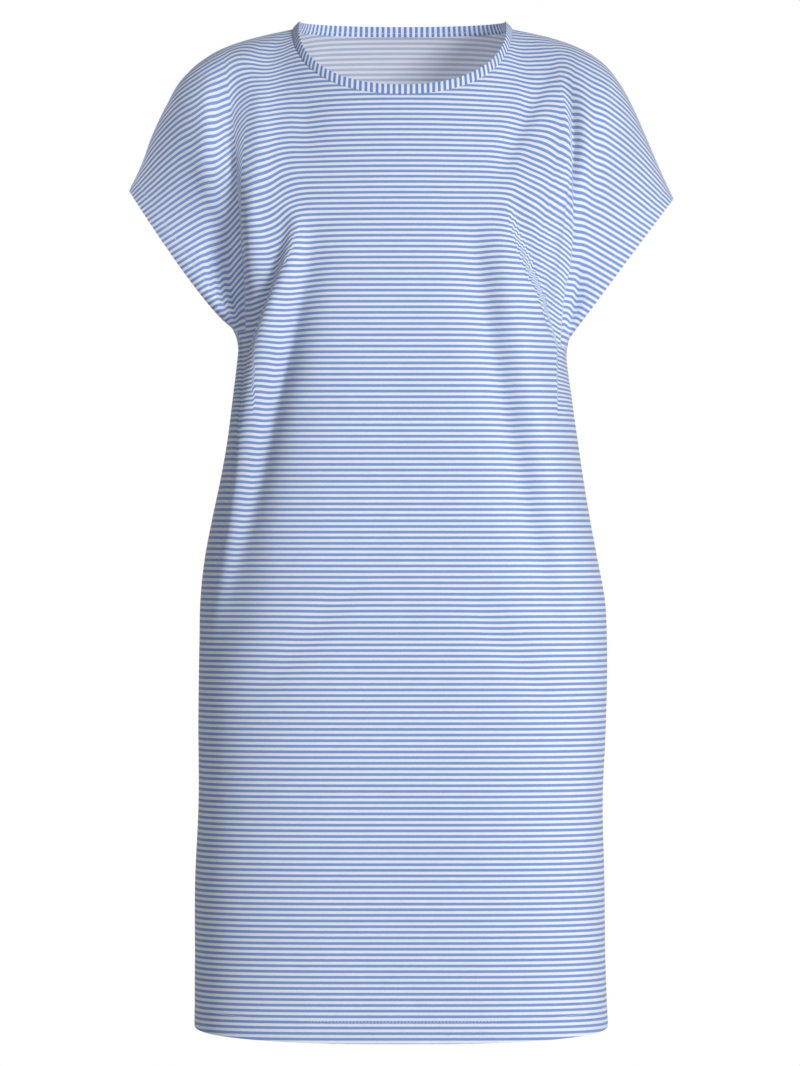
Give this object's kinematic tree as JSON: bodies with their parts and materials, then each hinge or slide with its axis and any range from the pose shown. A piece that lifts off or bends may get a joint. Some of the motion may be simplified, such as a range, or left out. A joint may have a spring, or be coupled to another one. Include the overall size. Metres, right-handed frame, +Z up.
{
  "type": "nightshirt",
  "caption": "Knee-length pull-on nightshirt in fine striped jersey with short cut-in-one sleeves, a round banded neck and a straight hem, filled out as worn.",
  "frame": {"origin": "midway between the two shoulder points of the neck, where the wearer's shoulders hold the garment up", "axes": "+Z up, -Y to the front of the garment, +X to the wearer's left side"},
  "size_m": [0.5015, 0.2757, 0.9341],
  "materials": {
    "striped_jersey": "soft matt cotton jersey, fine level blue and white stripes",
    "neckband_jersey": "soft matt cotton jersey, the same stripes running across the band"
  },
  "bodies": {
    "root": {"front": "striped_jersey", "back": "striped_jersey", "neckband": "neckband_jersey"}
  },
  "joints": []
}
